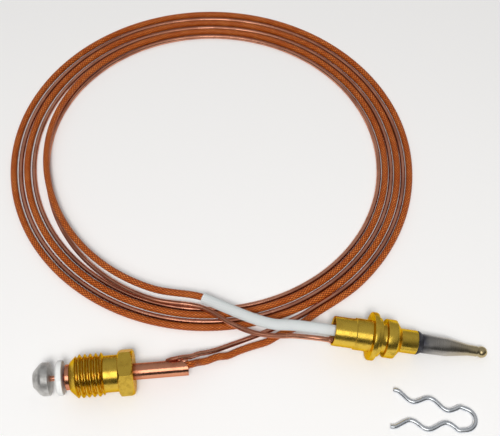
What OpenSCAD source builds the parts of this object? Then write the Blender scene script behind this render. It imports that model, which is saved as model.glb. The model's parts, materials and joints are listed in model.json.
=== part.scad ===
// Two-wire gas thermocouple: a brass probe head with a hot tip, two leads laid in a loose
// coil, an M8 gland nut with its contact, and the wire clip that holds the head.
// Millimetres, +Z up. The origin is on the table, under the middle of the rigid pieces.

/* [Probe head] */
// Diameter of the short barrel at the rear of the head
barrel_d = 5.6; // [5.2:0.1:5.8]
// Length of that barrel
barrel_len = 4; // [3:0.5:6]
// Diameter of the thicker step in front of the barrel
step_d = 6; // [5.9:0.1:7]
// Length of the step
step_len = 3.05; // [2:0.05:4]
// Diameter of the flange that stops against the bracket
flange_d = 9.1; // [8.5:0.1:12]
// Thickness of the flange
flange_len = 1; // [0.8:0.1:1.6]
// Diameter of the shoulder that fills the bracket's hole
shoulder_d = 7.4; // [7:0.1:8]
// Length of the shoulder, as thick as the bracket
shoulder_len = 0.8; // [0.6:0.1:1.2]
// Diameter at the bottom of the clip groove
groove_d = 5.5; // [5.2:0.1:6]
// Width of the clip groove
groove_len = 1; // [1:0.1:1.4]
// Diameter of the collar in front of the groove
collar_d = 7.3; // [6.8:0.1:7.4]
// Length of the collar, without its cone
collar_len = 1.9; // [1.4:0.1:3]
// Length of the cone that ends the collar
collar_cone_len = 0.9; // [0.6:0.1:1.4]
// Diameter of the neck
neck_d = 4.5; // [4.3:0.1:5]
// Length of the neck
neck_len = 3.4; // [2.5:0.1:5]
// Bore of the hollow rear, where the leads go in
rear_bore_d = 4.6; // [4.5:0.05:4.7]

/* [Hot tip] */
// Diameter of the steel sheath at the neck
sheath_d = 3.65; // [3.6:0.05:4]
// Diameter of the sheath where its taper starts
sheath_front_d = 3.5; // [3.3:0.05:3.6]
// Length of the nearly straight part of the sheath
sheath_len = 5.2; // [4:0.1:8]
// Length of the taper
taper_len = 5.75; // [4:0.05:7]
// Diameter at the thin end of the taper
taper_end_d = 2; // [1.8:0.1:2]
// Diameter of the welded ball at the tip
bead_d = 2.2; // [2.1:0.1:2.4]
// Diameter of the inner element rod
element_d = 1; // [0.9:0.05:1.1]

/* [Leads] */
// Diameter of the bare copper lead
bare_d = 0.95; // [0.9:0.05:1]
// Diameter of the varnished braid lead
braid_d = 1.4; // [1.3:0.05:1.4]
// Diameter of the copper core inside the braid
core_d = 0.8; // [0.7:0.05:0.9]
// Outer diameter of the glass-fibre sleeve
sleeve_d = 2.1; // [2:0.05:2.1]

/* [Gland nut] */
// Diameter over the thread crests (M8)
thread_d = 8; // [8:0.5:9]
// Thread pitch
thread_pitch = 1; // [0.75:0.25:1.25]
// Number of thread crests
thread_crests = 6; // [4:1:6]
// Length of the cone in front of the thread
nut_cone_len = 1.3; // [1:0.1:1.6]
// Diameter of the plain neck behind the thread
relief_d = 6.8; // [6.5:0.1:7]
// Length of the plain neck
relief_len = 2.6; // [2:0.1:3]
// Size of the hexagon across its flats
hex_af = 8; // [8:0.5:10]
// Thickness of the hexagon
hex_len = 2.8; // [2.5:0.1:3.2]

/* [Contact end] */
// Diameter of the copper tube behind the nut
tube_d = 3; // [2.8:0.1:3]
// Diameter of the flat nose on the contact
nose_d = 3; // [2.4:0.1:3.4]
// Diameter of the contact button
button_d = 6.2; // [5.8:0.1:6.4]
// Length of the button's cone
button_cone_len = 1.45; // [1:0.05:1.6]
// Whole length of the button
button_len = 3; // [2.8:0.05:3.4]
// Diameter of the white insulating washer
washer_d = 6.5; // [6:0.1:6.8]
// Thickness of the washer
washer_len = 1.15; // [0.9:0.05:1.2]
// Diameter of the copper seat ring in the nut's mouth
seat_d = 4.7; // [4.5:0.1:4.8]

/* [Retaining clip] */
// Diameter of the clip's spring wire
clip_wire_d = 0.95; // [0.8:0.05:1]

/* [Hidden] */

$fn = 64;
// Overlap that keeps a cut from ending flush with a face.
cut = 0.1;
// Facets round a lead, a sleeve and the clip's wire.
sides = 8;

// ---- Stations along the probe head, from its rear face ----
step_z = barrel_len;
flange_z = step_z + step_len;
shoulder_z = flange_z + flange_len;
groove_z = shoulder_z + shoulder_len;
collar_z = groove_z + groove_len;
cone_z = collar_z + collar_len;
neck_z = cone_z + collar_cone_len;
neck_end_z = neck_z + neck_len;
braze_len = 0.9;
sheath_z = neck_end_z + braze_len;
taper_z = sheath_z + sheath_len;
taper_end_z = taper_z + taper_len;
bead_z = taper_end_z + bead_d / 2;
rear_bore_len = 8;
spigot_d = 3;
spigot_z = rear_bore_len + 2.5;
sheath_bore_d = 2.2;
tip_bore_d = 1.2;
edge = 0.15;

// ---- The head lies on its flange and on its ball: that gives its tilt and its height ----
flange_to_bead = bead_z - shoulder_z;
rest_arm = norm([flange_to_bead, flange_d / 2]);
head_tilt = acos(bead_d / 2 / rest_arm) - atan2(flange_to_bead, flange_d / 2);
head_turn = -4.6;
head_pos = [13.25, 7, bead_z * sin(head_tilt) + bead_d / 2];

// ---- The contact end lies level on the thread and on one flat of the hexagon ----
contact_turn = 5.1;
contact_pos = [-42, -2.1, thread_d / 2];

// ---- Stations along the contact end, from the button's nose ----
washer_z = button_len + 1.3;
seat_z = washer_z + washer_len + 0.4;
seat_len = 1.8;
nut_z = seat_z + 0.95;
thread_z = nut_z + nut_cone_len;
// The first crest lies on the cone, and the last one half a pitch before the plain neck.
first_crest_z = nut_z + 0.75;
relief_z = first_crest_z + (thread_crests - 0.5) * thread_pitch;
hex_z = relief_z + relief_len;
nut_end_z = hex_z + hex_len;
tube_end_z = 28.4;
tube_bore_d = 2;
conductor_d = 1;
stub_insulation_d = 1.36;
braid_end_z = 26.8;
conductor_end_z = 25.4;
splice_len = 2.2;
thread_depth = 0.61;
running_gap = 0.08;

// ---- Frames: a point beside each axis, and the solids turned onto it ----
// z runs along the axis, side is level and up is square to both.
function along(origin, tilt, turn, z, side, up) =
    let (axis = [cos(tilt) * cos(turn), cos(tilt) * sin(turn), -sin(tilt)],
         across = [-sin(turn), cos(turn), 0])
    origin + z * axis + side * across + up * cross(axis, across);
function head_at(z, side = 0, up = 0) = along(head_pos, head_tilt, head_turn, z, side, up);
function contact_at(z, side = 0, up = 0) = along(contact_pos, 0, contact_turn, z, side, up);

module on_head() { translate(head_pos) rotate([0, 90 + head_tilt, head_turn]) children(); }
module on_contact() { translate(contact_pos) rotate([0, 90, contact_turn]) children(); }

// ---- Leads: their places in the head and on the copper tube ----
wire_side = -1.55;
wire_up = -0.95;
braze_side = 1.68;
braze_up = 1.05;
braid_up = 0.15;

// ---- Coil: both leads wind clockwise seen from above, side by side and outwards ----
coil_centre = [-12, 51];
coil_start = 90;
coil_points = 24; // in each turn
coil_last = 70; // the last point, a little under three turns on
coil_r = 34.5;
coil_drift = 1;
coil_oval = 0.5;
oval_turn = 30;
turn_gap = 2.6; // a bare and a braided lead side by side
coil_slack = 0.12; // extra gap on the loose side
slack_turn = 200;
crossing_r = 3; // each lead comes in over the turns outside it
bare_crossing_z = 1.6;
braid_crossing_z = 3.2;
lead_gap = 1.3; // between the middles of the two leads in one turn
bare_landing = 0.25; // turns until the lead lies flat
braid_landing = 0.5;

// ---- Stretches outside the coil ----
bare_head_run = [
    head_at(3, wire_side, wire_up), head_at(0, wire_side, wire_up), head_at(-3, wire_side, wire_up),
    [6, 6.5, 4.5], [2, 7, 3.5], [-2, 8, 3], [-6, 10, 2.5]
];
bare_tail_run = [
    [5.5, 11.5, 0.5], [1.5, 9.5, 0.5], [-2, 8, 0.5], [-4.5, 7, 0.5], [-6.5, 6, 1],
    [-8.5, 5, 1.5], [-10.5, 4, 2.5], [-12, 3.5, 3], [-13.5, 2.5, 4],
    contact_at(27, braze_side, braze_up), contact_at(24.4, braze_side, braze_up)
];
braided_head_run = [
    head_at(3.2, 0, braid_up), head_at(1.6, 0, braid_up), head_at(0, 0, braid_up),
    head_at(-3, 0, braid_up), [6, 8, 6], [2, 8.5, 5.5], [-2, 10, 5], [-6, 12, 4.5]
];
braided_tail_run = [
    [6.5, 10, 0.7], [3.5, 8.5, 0.7], [1, 7, 0.7], [-2, 6, 0.7], [-4.5, 5, 0.8],
    [-6.5, 4, 1], [-8.5, 3.5, 1.5], [-10.5, 2.5, 2], [-12, 2, 2.5],
    contact_at(tube_end_z + 0.5, 0.5, 0.1), contact_at(braid_end_z, 0.25, 0.05)
];

// ---- Smooth curve through points, and the coil's route by angle ----
function at_end(points, i) = points[max(0, min(len(points) - 1, i))];
function curve(points, i, t) =
    let (a = at_end(points, i - 1), b = at_end(points, i),
         c = at_end(points, i + 1), d = at_end(points, i + 2))
    0.5 * (2 * b + (c - a) * t + (2 * a - 5 * b + 4 * c - d) * t * t
        + (3 * b - a - 3 * c + d) * t * t * t);
function settled(turns, landing) = let (t = min(1, turns / landing)) t * t * (3 - 2 * t);
function coil_radius(turns, angle, lane) =
    coil_r + coil_drift * cos(angle) + coil_oval * cos(2 * (angle - oval_turn))
        + crossing_r * (1 - settled(turns, bare_landing))
        + (turns * turn_gap + lane) * (1 + coil_slack * (1 + cos(angle - slack_turn)) / 2);
function coil_point(i, lane, z) =
    let (turns = i / coil_points, angle = coil_start + 360 * turns, r = coil_radius(turns, angle, lane))
    [coil_centre.x + r * cos(angle), coil_centre.y - r * sin(angle), z];
bare_coil = [
    for (i = [0:coil_last])
        let (settling = 1 - settled(i / coil_points, bare_landing))
        coil_point(i, 0, bare_d / 2 + bare_crossing_z * settling)
];
// The braided lead comes in above and inside the bare one and settles outside it.
braided_coil = [
    for (i = [0:coil_last])
        let (settling = 1 - settled(i / coil_points, braid_landing))
        coil_point(i, lead_gap * (1 - 2 * settling), braid_d / 2 + braid_crossing_z * settling)
];

bare_route = concat(bare_head_run, bare_coil, bare_tail_run);
braided_route = concat(braided_head_run, braided_coil, braided_tail_run);
// The sleeve starts inside the head and ends just before the coil starts.
sleeve_route = concat(
    [for (i = [1:len(braided_head_run) - 1]) braided_route[i]],
    [curve(braided_route, len(braided_head_run) - 1, 0.85)]
);

// ---- Tube swept along a route, solid or with a bore ----
function unit(v) = v / norm(v);
function heading(route, i) = unit(at_end(route, i + 1) - at_end(route, i - 1));
function ring(route, i, r) =
    let (forward = heading(route, i), across = unit(cross([0, 0, 1], forward)),
         up = cross(forward, across))
    [for (k = [0:sides - 1])
        let (angle = (k + 0.5) * 360 / sides)
        route[i] + r * (cos(angle) * across + sin(angle) * up)];
function rings(route, r) = [for (i = [0:len(route) - 1]) each ring(route, i, r)];
function skin(count, first, inward) = [
    for (i = [0:count - 2], k = [0:sides - 1])
        let (a = first + i * sides + k, b = first + i * sides + (k + 1) % sides,
             wall = [a, b, b + sides, a + sides])
        inward ? wall : [wall[3], wall[2], wall[1], wall[0]]
];
function rim(outer, inner, start) = [
    for (k = [0:sides - 1])
        let (n = (k + 1) % sides, face = [outer + k, outer + n, inner + n, inner + k])
        start ? face : [face[3], face[2], face[1], face[0]]
];

module swept_rod(route, d) {
    count = len(route);
    last = (count - 1) * sides;
    polyhedron(
        points = rings(route, d / 2),
        faces = concat(
            skin(count, 0, false),
            [[for (k = [0:sides - 1]) k]],
            [[for (k = [sides - 1:-1:0]) last + k]]
        ),
        convexity = 10
    );
}

module swept_tube(route, d, bore) {
    count = len(route);
    last = (count - 1) * sides;
    inner = count * sides;
    polyhedron(
        points = concat(rings(route, d / 2), rings(route, bore / 2)),
        faces = concat(
            skin(count, 0, false), skin(count, inner, true),
            rim(0, inner, true), rim(last, inner + last, false)
        ),
        convexity = 10
    );
}

// ---- Turned solids ----
module disc(z, length, d) { translate([0, 0, z]) cylinder(h = length, d = d); }
module turned(profile) { rotate_extrude() polygon(profile); }
module pipe(z, length, d, bore) {
    difference() {
        disc(z, length, d);
        disc(z - cut, length + 2 * cut, bore);
    }
}
// A point of a fillet or ball: centre, radius and angle.
function arc(centre, r, from, to, steps) =
    [for (i = [0:steps]) let (a = from + (to - from) * i / steps) centre + r * [cos(a), sin(a)]];

// ---- Probe head ----
module probe_body() {
    color("goldenrod") on_head() difference() {
        turned([
            [0, 0], [barrel_d / 2 - edge, 0], [barrel_d / 2, edge], [barrel_d / 2, step_z],
            [step_d / 2 - edge, step_z], [step_d / 2, step_z + edge], [step_d / 2, flange_z],
            [flange_d / 2 - edge, flange_z], [flange_d / 2, flange_z + edge],
            [flange_d / 2, shoulder_z - edge], [flange_d / 2 - edge, shoulder_z],
            [shoulder_d / 2, shoulder_z], [shoulder_d / 2, groove_z],
            [groove_d / 2, groove_z], [groove_d / 2, collar_z],
            [collar_d / 2, collar_z], [collar_d / 2, cone_z],
            [neck_d / 2 + edge, neck_z], [neck_d / 2, neck_z + edge],
            [neck_d / 2, neck_end_z], [0, neck_end_z]
        ]);
        disc(-cut, rear_bore_len + cut, rear_bore_d);
        disc(0, neck_end_z + cut, spigot_d);
    }
}

// Radius of the sheath's outside over its taper: a cone that eases into the thin end.
function taper_r(t) = sheath_front_d / 2
    + (taper_end_d - sheath_front_d) / 2 * (t < 0.7 ? 1.3 * t : 1 - (1 - t) * (1 - t));

module hot_sheath() {
    steps = 8;
    color("dimgray") on_head() turned(concat(
        [[sheath_bore_d / 2, spigot_z], [spigot_d / 2, spigot_z], [spigot_d / 2, sheath_z],
         [sheath_d / 2 - edge, sheath_z], [sheath_d / 2, sheath_z + edge]],
        [for (i = [0:steps]) [taper_r(i / steps), taper_z + taper_len * i / steps]],
        [[tip_bore_d / 2, taper_end_z], [tip_bore_d / 2, taper_z + taper_len * 0.6],
         [sheath_bore_d / 2, taper_z]]
    ));
}

module tip_bead() {
    r = bead_d / 2;
    color("peru") on_head() turned(concat(
        [[0, taper_end_z], [taper_end_d / 2, taper_end_z]],
        arc([0, bead_z], r, -10, 90, 8)
    ));
}

module element_rod() {
    start_z = 5;
    color("silver") on_head() disc(start_z, taper_end_z - start_z, element_d);
}

module element_insulator() {
    start_z = 8.6;
    color("ivory") on_head() pipe(start_z, taper_z - start_z, sheath_bore_d, element_d);
}

module neck_braze() {
    color("darkslategray") on_head() difference() {
        turned([
            [0, neck_end_z], [neck_d / 2 - edge, neck_end_z],
            [sheath_d / 2 + edge / 2, sheath_z], [0, sheath_z]
        ]);
        disc(neck_end_z - cut, braze_len + 2 * cut, spigot_d);
    }
}

module head_splice() {
    start_z = 4;
    length = 2.4;
    color("lightgray") on_head() difference() {
        disc(start_z, length, element_d + 0.8);
        disc(5, length, element_d);
        disc(start_z - cut, 1 + 2 * cut, core_d);
    }
}

module rear_potting() {
    start_z = 0.8;
    length = 2.2;
    color("tan") on_head() difference() {
        disc(start_z, length, rear_bore_d);
        translate([-braid_up, 0, 0]) disc(start_z - cut, length + 2 * cut, sleeve_d);
        translate([-wire_up, wire_side, 0]) disc(start_z - cut, length + 2 * cut, bare_d);
    }
}

module bare_lead_solder() {
    length = 0.7;
    color("chocolate") on_head() translate([-wire_up, wire_side, 0]) difference() {
        translate([0, 0, -length]) cylinder(h = length, d1 = bare_d + 0.3, d2 = bare_d + 0.6);
        disc(-length - cut, length + 2 * cut, bare_d);
    }
}

// ---- Leads ----
module bare_lead() { color("sienna") swept_rod(bare_route, bare_d); }
module braided_lead() { color("chocolate") swept_rod(braided_route, braid_d); }
module fibre_sleeve() { color("white") swept_tube(sleeve_route, sleeve_d, braid_d + 0.06); }

module head_core() {
    color("sienna") on_head() translate([-braid_up, 0, 0]) disc(3.2, 1.8, core_d - 0.3);
}

module tail_core() {
    color("sienna") on_contact() disc(conductor_end_z, braid_end_z - conductor_end_z, core_d);
}

// ---- Contact end ----
module contact_tube() {
    lip_z = 27;
    color("peru") on_contact() difference() {
        pipe(seat_z, tube_end_z - seat_z, tube_d, tube_bore_d);
        translate([-braze_up, braze_side, lip_z]) rotate([0, 0, -32])
            translate([-tube_d, -0.9, 0]) cube([2 * tube_d, tube_d, tube_d]);
    }
}

module seat_ring() {
    land = 0.8;
    color("peru") on_contact() turned([
        [tube_d / 2, seat_z], [seat_d / 2 - edge, seat_z], [seat_d / 2, seat_z + edge],
        [seat_d / 2, seat_z + land], [tube_d / 2 + edge, seat_z + seat_len],
        [tube_d / 2, seat_z + seat_len]
    ]);
}

module tube_braze() {
    length = 2.6;
    color("chocolate") on_contact() difference() {
        translate([-braze_up, braze_side, 23.8]) cylinder(h = length, d1 = bare_d, d2 = bare_d + 0.7);
        disc(23, length + 2, tube_d);
        translate([-braze_up, braze_side, 24.4]) cylinder(h = length + 1, d = bare_d);
    }
}

module centre_conductor() {
    start_z = 0.8;
    color("sienna") on_contact() disc(start_z, conductor_end_z - start_z, conductor_d);
}

module conductor_insulation() {
    stub_z = washer_z + 0.35;
    tail_z = conductor_end_z - 1.4;
    color("maroon") on_contact() difference() {
        union() {
            disc(stub_z, seat_z - stub_z + cut, stub_insulation_d);
            disc(seat_z, tail_z - seat_z, tube_bore_d);
        }
        disc(stub_z - cut, tail_z - stub_z + 2 * cut, conductor_d);
    }
}

module tail_splice() {
    start_z = conductor_end_z - splice_len / 2;
    color("lightgray") on_contact() difference() {
        disc(start_z, splice_len, conductor_d + 0.6);
        disc(start_z - cut, splice_len / 2 + cut, conductor_d);
        disc(start_z + splice_len / 2 - cut, splice_len / 2 + 2 * cut, core_d);
    }
}

module contact_button() {
    color("silver") on_contact() difference() {
        turned([
            [0, 0], [nose_d / 2, 0], [button_d / 2 - edge, button_cone_len - edge],
            [button_d / 2, button_cone_len + edge], [button_d / 2, button_len], [0, button_len]
        ]);
        disc(0.8, button_len, conductor_d);
    }
}

module insulating_washer() {
    color("white") on_contact() difference() {
        turned([
            [0, washer_z], [washer_d / 2 - 2 * edge, washer_z], [washer_d / 2, washer_z + 2 * edge],
            [washer_d / 2, washer_z + washer_len - edge], [washer_d / 2 - edge, washer_z + washer_len],
            [0, washer_z + washer_len]
        ]);
        disc(washer_z - cut, washer_len + 2 * cut, stub_insulation_d + 2 * running_gap);
    }
}

module hexagon() {
    corner_r = hex_af / 2 / cos(30);
    corner_cut = 0.45;
    intersection() {
        translate([0, 0, hex_z]) rotate([0, 0, 30]) cylinder(h = hex_len, r = corner_r, $fn = 6);
        turned([
            [0, hex_z], [corner_r - corner_cut, hex_z], [corner_r, hex_z + corner_cut],
            [corner_r, nut_end_z - corner_cut], [corner_r - corner_cut, nut_end_z], [0, nut_end_z]
        ]);
    }
}

module thread_groove(z) {
    root = thread_d / 2 - thread_depth;
    crest = thread_pitch / 8;
    turned([
        [thread_d / 2 + cut, z + crest / 2], [thread_d / 2, z + crest / 2],
        [root, z + thread_pitch / 2 - crest / 2], [root, z + thread_pitch / 2 + crest / 2],
        [thread_d / 2, z + thread_pitch - crest / 2], [thread_d / 2 + cut, z + thread_pitch - crest / 2]
    ]);
}

module gland_nut() {
    bore = tube_d + 2 * running_gap;
    mouth_d = seat_d + 0.3;
    color("goldenrod") on_contact() difference() {
        union() {
            turned([
                [0, nut_z], [mouth_d / 2 + 0.25, nut_z], [thread_d / 2, thread_z],
                [thread_d / 2, relief_z - 0.4 * thread_pitch], [relief_d / 2, relief_z],
                [relief_d / 2, hex_z],
                [0, hex_z]
            ]);
            hexagon();
        }
        for (i = [0:thread_crests - 2]) thread_groove(first_crest_z + i * thread_pitch);
        disc(nut_z - cut, nut_end_z - nut_z + 2 * cut, bore);
        turned([
            [0, nut_z - cut], [mouth_d / 2, nut_z - cut], [mouth_d / 2, seat_z + 1.25],
            [bore / 2, seat_z + seat_len + 0.4], [0, seat_z + seat_len + 0.4]
        ]);
    }
}

// ---- Retaining clip: two mirrored legs and a round bow ----
clip_pos = [24.3, -6.2, clip_wire_d / 2];
clip_turn = -9.6;
// One leg from its open end to the bow, in the clip's own plane: it waves in towards the other twice.
leg_gap = 2.85;
leg_taper = 0.09;
leg_wave = 0.75;
leg_wave_len = 6.5;
leg_waist_x = 3.2;
leg_start_x = -0.4;
leg_end_x = 12;
leg_points = 15;
clip_leg = [
    for (i = [0:leg_points])
        let (x = leg_start_x + i * (leg_end_x - leg_start_x) / leg_points)
        [x, leg_gap - leg_taper * x - leg_wave * cos(360 * (x - leg_waist_x) / leg_wave_len)]
];
bow_centre = [12.85, 0];
bow_r = 2.05;
clip_half = concat(clip_leg, arc(bow_centre, bow_r, 80, 0, 4));
clip_outline = concat(clip_half, [for (i = [len(clip_half) - 2:-1:0]) [clip_half[i].x, -clip_half[i].y]]);
clip_route = [for (p = clip_outline) [p.x, p.y, 0]];

module retaining_clip() {
    color("lightsteelblue") translate(clip_pos) rotate([0, 0, clip_turn])
        swept_rod(clip_route, clip_wire_d);
}

probe_body();
hot_sheath();
tip_bead();
element_rod();
element_insulator();
neck_braze();
head_splice();
rear_potting();
bare_lead_solder();
bare_lead();
braided_lead();
fibre_sleeve();
head_core();
tail_core();
contact_tube();
seat_ring();
tube_braze();
centre_conductor();
conductor_insulation();
tail_splice();
contact_button();
insulating_washer();
gland_nut();
retaining_clip();
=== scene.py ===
"""Finished look of a gas thermocouple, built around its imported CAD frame.

The CAD gives every place and size.  Each sub-assembly is a class: its fields are sizes in
millimetres, and its methods build the meshes, dress them and hand them to the frame.
"""

import json
import logging
import math
from dataclasses import dataclass
from enum import Enum
from typing import Callable, Iterable, Sequence, Union

import bmesh
import bpy
from mathutils import Matrix, Vector, noise


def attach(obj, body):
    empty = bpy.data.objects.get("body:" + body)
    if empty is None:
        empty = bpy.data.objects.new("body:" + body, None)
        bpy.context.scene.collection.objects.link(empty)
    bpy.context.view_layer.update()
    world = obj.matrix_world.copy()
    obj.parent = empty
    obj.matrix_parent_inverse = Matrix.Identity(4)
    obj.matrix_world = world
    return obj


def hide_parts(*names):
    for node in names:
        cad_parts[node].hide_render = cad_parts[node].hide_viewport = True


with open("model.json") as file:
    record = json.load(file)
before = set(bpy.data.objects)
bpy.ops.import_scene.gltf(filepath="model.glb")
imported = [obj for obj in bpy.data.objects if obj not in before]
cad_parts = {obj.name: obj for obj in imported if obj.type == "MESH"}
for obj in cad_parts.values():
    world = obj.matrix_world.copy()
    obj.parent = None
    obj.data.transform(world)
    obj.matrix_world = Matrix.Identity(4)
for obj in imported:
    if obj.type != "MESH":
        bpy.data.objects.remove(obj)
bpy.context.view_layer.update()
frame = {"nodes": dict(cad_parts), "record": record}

MM = 0.001
TURN = 2 * math.pi
log = logging.getLogger("thermocouple")


class Body(Enum):
    """Bodies of the CAD model, by their own names."""

    MAIN = "thermocouple"
    NUT = "nut"
    WASHER = "washer"
    CLIP = "clip"


# --------------------------------------------------------------------------------------
# Axes of the two turned ends
# --------------------------------------------------------------------------------------


@dataclass(frozen=True)
class Axis:
    """A straight axis of the CAD model.

    Attributes:
        origin: Point at station 0, in metres.
        heading: Unit vector along growing stations.
    """

    origin: Vector
    heading: Vector

    @classmethod
    def from_mount(cls, name: str, station: float, reverse: bool = False) -> "Axis":
        """Read an axis from one of the record's round mounts.

        Args:
            name: Mount name in the record.
            station: The mount's station along the axis, in mm.
            reverse: True where the mount's axis points to falling stations.

        Returns:
            The axis, with its origin at station 0.
        """
        mount = next(m for m in frame["record"]["mounts"] if m["name"] == name)
        heading = Vector(mount["axis"]).normalized() * (-1 if reverse else 1)
        return cls(Vector(mount["pos_m"]) - heading * station * MM, heading)

    @property
    def across(self) -> Vector:
        """Level direction square to the axis."""
        return Vector((0, 0, 1)).cross(self.heading).normalized()

    @property
    def up(self) -> Vector:
        """Direction square to the axis and to the level one."""
        return self.heading.cross(self.across)

    def matrix(self) -> Matrix:
        """Place a mesh in mm, turned about its own z, on the axis in metres."""
        columns = (-self.up * MM, self.across * MM, self.heading * MM)
        turned = Matrix(columns).transposed().to_4x4()
        turned.translation = self.origin
        return turned

    def point(self, z: float, side: float = 0.0, up: float = 0.0) -> Vector:
        """Point beside the axis.

        Args:
            z: Station, in mm.
            side: Offset across, in mm.
            up: Offset up, in mm.

        Returns:
            The point, in metres.
        """
        return self.origin + (self.heading * z + self.across * side + self.up * up) * MM


# --------------------------------------------------------------------------------------
# Meshes
# --------------------------------------------------------------------------------------

Relief = Callable[[float, float, float], float]
Outline = list[tuple[float, float]]
ROUNDED_FROM_DEG = 25.0


def make_piece(name: str, bm: bmesh.types.BMesh, sharp_deg: float = 40.0) -> bpy.types.Object:
    """Turn a bmesh into an object at the origin, smooth but for its sharp edges.

    Args:
        name: Piece name.
        bm: The mesh in metres; it is freed.
        sharp_deg: Edges that turn by more than this stay sharp.

    Returns:
        The new object, linked to the scene.
    """
    mesh = bpy.data.meshes.new(name)
    bm.to_mesh(mesh)
    bm.free()
    for polygon in mesh.polygons:
        polygon.use_smooth = True
    mesh.set_sharp_from_angle(angle=math.radians(sharp_deg))
    piece = bpy.data.objects.new(name, mesh)
    bpy.context.scene.collection.objects.link(piece)
    return piece


def tidy_normals(bm: bmesh.types.BMesh, merge: float) -> None:
    """Merge doubles and turn every face outwards.

    Args:
        bm: The mesh.
        merge: Largest gap that is closed.
    """
    bmesh.ops.remove_doubles(bm, verts=bm.verts[:], dist=merge)
    bmesh.ops.recalc_face_normals(bm, faces=bm.faces[:])


def resampled(profile: Outline, step: float) -> Outline:
    """Add points to an outline so that no stretch is longer than a step.

    Args:
        profile: Outline as (radius, z) points, in mm.
        step: Longest stretch of the result, in mm.

    Returns:
        The denser outline.
    """
    points: Outline = []
    for (r0, z0), (r1, z1) in zip(profile, profile[1:]):
        count = max(1, math.ceil(math.hypot(r1 - r0, z1 - z0) / step))
        points += [(r0 + (r1 - r0) * i / count, z0 + (z1 - z0) * i / count) for i in range(count)]
    return points + [profile[-1]]


def rounded(profile: Outline, radius: float, closed: bool = False) -> Outline:
    """Round the corners of an outline.

    Args:
        profile: Outline as (radius, z) points, in mm.
        radius: Length of each edge that a corner takes up, in mm.
        closed: True where the outline's ends meet.

    Returns:
        The outline with three short stretches at each corner.
    """
    points = [Vector(p) for p in profile]
    count = len(points)
    made: Outline = []
    for i, corner in enumerate(points):
        before, after = points[i - 1] - corner, points[(i + 1) % count] - corner
        at_end = not closed and i in (0, count - 1)
        if at_end or math.degrees(math.pi - before.angle(after)) < ROUNDED_FROM_DEG:
            made.append(profile[i])
            continue
        reach = min(radius, before.length * 0.45, after.length * 0.45)
        a, b = corner + before.normalized() * reach, corner + after.normalized() * reach
        for t in (0.0, 0.35, 0.65, 1.0):
            spot = a * (1 - t) ** 2 + corner * 2 * t * (1 - t) + b * t**2
            made.append((spot.x, spot.y))
    return made


def turned_mesh(
    profile: Outline,
    segments: int = 96,
    relief: Relief | None = None,
    closed: bool = False,
) -> bmesh.types.BMesh:
    """Spin an outline about z.

    Args:
        profile: Outline as (radius, z) points in mm.
        segments: Steps of the spin.
        relief: Adds to the radius, as a function of angle, radius and z.
        closed: True where the outline's ends meet, as for a ring.

    Returns:
        The mesh, in mm about its own z axis.
    """
    bm = bmesh.new()
    verts = [bm.verts.new((r, 0, z)) for r, z in profile]
    edges = [bm.edges.new(pair) for pair in zip(verts, verts[1:])]
    if closed:
        edges.append(bm.edges.new((verts[-1], verts[0])))
    bmesh.ops.spin(
        bm, geom=verts + edges, cent=(0, 0, 0), axis=(0, 0, 1), angle=TURN, steps=segments, use_merge=True
    )
    tidy_normals(bm, 1e-4)
    if relief:
        for vert in bm.verts:
            radius = math.hypot(vert.co.x, vert.co.y)
            if radius > 1e-6:
                angle = math.atan2(vert.co.y, vert.co.x)
                scale = 1 + relief(angle, radius, vert.co.z) / radius
                vert.co.x *= scale
                vert.co.y *= scale
    return bm


def smooth_path(points: Sequence[Vector], step: float) -> list[Vector]:
    """Run a smooth curve through points and space it evenly.

    Args:
        points: Points that the curve passes, in metres.
        step: Spacing of the result, in metres.

    Returns:
        The evenly spaced points.
    """
    dense: list[Vector] = []
    for i in range(len(points) - 1):
        a, b = points[max(i - 1, 0)], points[i]
        c, d = points[i + 1], points[min(i + 2, len(points) - 1)]
        parts = max(4, math.ceil((c - b).length / step * 2))
        for k in range(parts):
            t = k / parts
            dense.append(
                0.5 * (2 * b + (c - a) * t + (2 * a - 5 * b + 4 * c - d) * t**2
                       + (3 * b - a - 3 * c + d) * t**3)
            )
    dense.append(points[-1].copy())
    lengths = [0.0]
    for a, b in zip(dense, dense[1:]):
        lengths.append(lengths[-1] + (b - a).length)
    count = max(2, round(lengths[-1] / step))
    even, i = [], 0
    for k in range(count + 1):
        s = lengths[-1] * k / count
        while i < len(lengths) - 2 and lengths[i + 1] < s:
            i += 1
        share = (s - lengths[i]) / max(lengths[i + 1] - lengths[i], 1e-12)
        even.append(dense[i].lerp(dense[i + 1], min(1.0, share)))
    return even


def path_length(path: Sequence[Vector]) -> float:
    """Add up the length of a path."""
    return sum((b - a).length for a, b in zip(path, path[1:]))


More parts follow.
